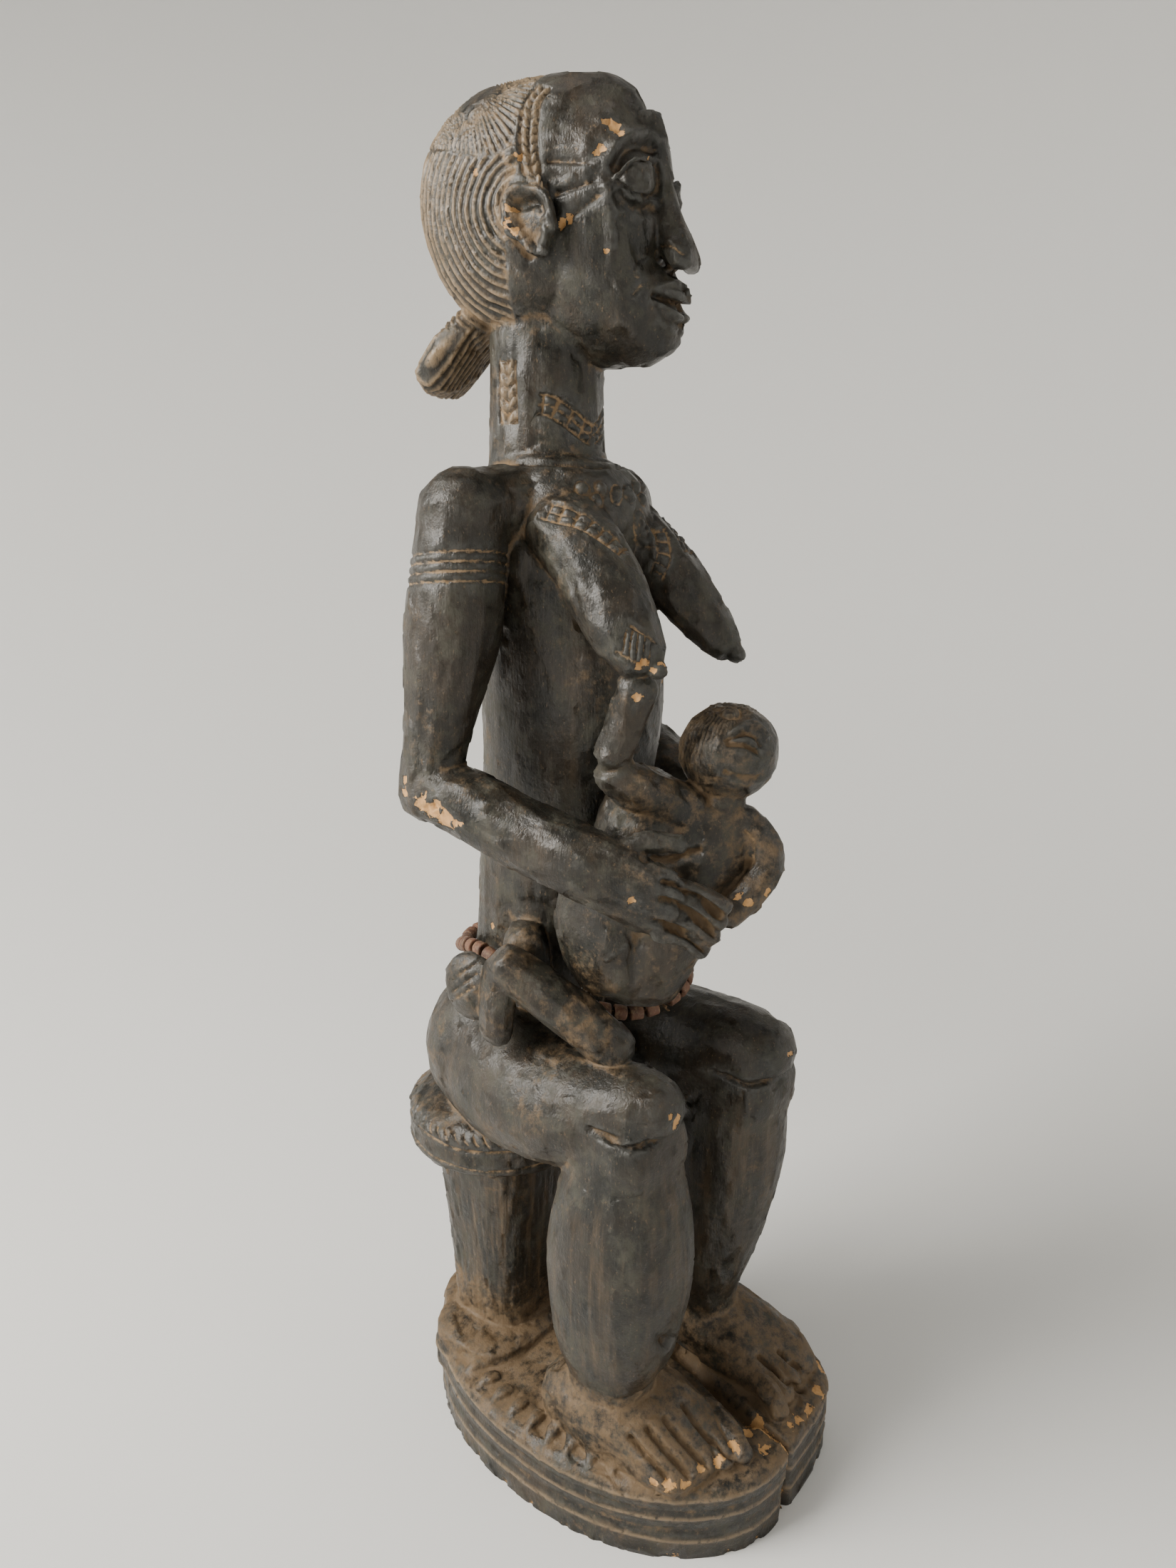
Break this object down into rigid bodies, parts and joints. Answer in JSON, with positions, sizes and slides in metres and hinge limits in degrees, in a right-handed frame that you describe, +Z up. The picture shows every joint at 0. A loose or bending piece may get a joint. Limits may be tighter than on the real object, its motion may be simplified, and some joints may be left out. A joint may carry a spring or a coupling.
{
  "type": "african maternity figure",
  "caption": "Carved wooden figure of a mother on a round stool nursing a child across her lap, on an oval base, with a string of clay beads round her hips.",
  "frame": {"origin": "on the underside of the base, near its middle, in the plane of the figure's spine", "axes": "+Z up; she faces -Y, and her left side is towards +X"},
  "size_m": [0.2101, 0.279, 0.8052],
  "materials": {
    "blackened_wood": "dense wood blackened and rubbed to a satin sheen, brown earth dust in the hollows, small bare tan chips on the high edges",
    "baked_clay": null,
    "brown_thread": "twisted plant-fibre thread"
  },
  "bodies": {
    "root": {"carved_figure": "blackened_wood", "bead_01": "baked_clay", "bead_02": "baked_clay", "bead_03": "baked_clay", "bead_04": "baked_clay", "bead_05": "baked_clay", "bead_06": "baked_clay", "bead_07": "baked_clay", "bead_08": "baked_clay", "bead_09": "baked_clay", "bead_10": "baked_clay", "bead_11": "baked_clay", "bead_12": "baked_clay", "bead_13": "baked_clay", "bead_14": "baked_clay", "bead_15": "baked_clay", "bead_16": "baked_clay", "bead_17": "baked_clay", "bead_18": "baked_clay", "bead_19": "baked_clay", "bead_20": "baked_clay", "bead_21": "baked_clay", "bead_22": "baked_clay", "bead_23": "baked_clay", "bead_24": "baked_clay", "bead_25": "baked_clay", "bead_26": "baked_clay", "bead_27": "baked_clay", "bead_28": "baked_clay", "bead_29": "baked_clay", "bead_30": "baked_clay", "bead_31": "baked_clay", "bead_32": "baked_clay", "bead_33": "baked_clay", "bead_34": "baked_clay", "bead_35": "baked_clay", "bead_36": "baked_clay", "bead_37": "baked_clay", "bead_38": "baked_clay", "bead_39": "baked_clay", "bead_40": "baked_clay", "bead_41": "baked_clay", "bead_42": "baked_clay", "bead_string": "brown_thread"}
  },
  "joints": []
}
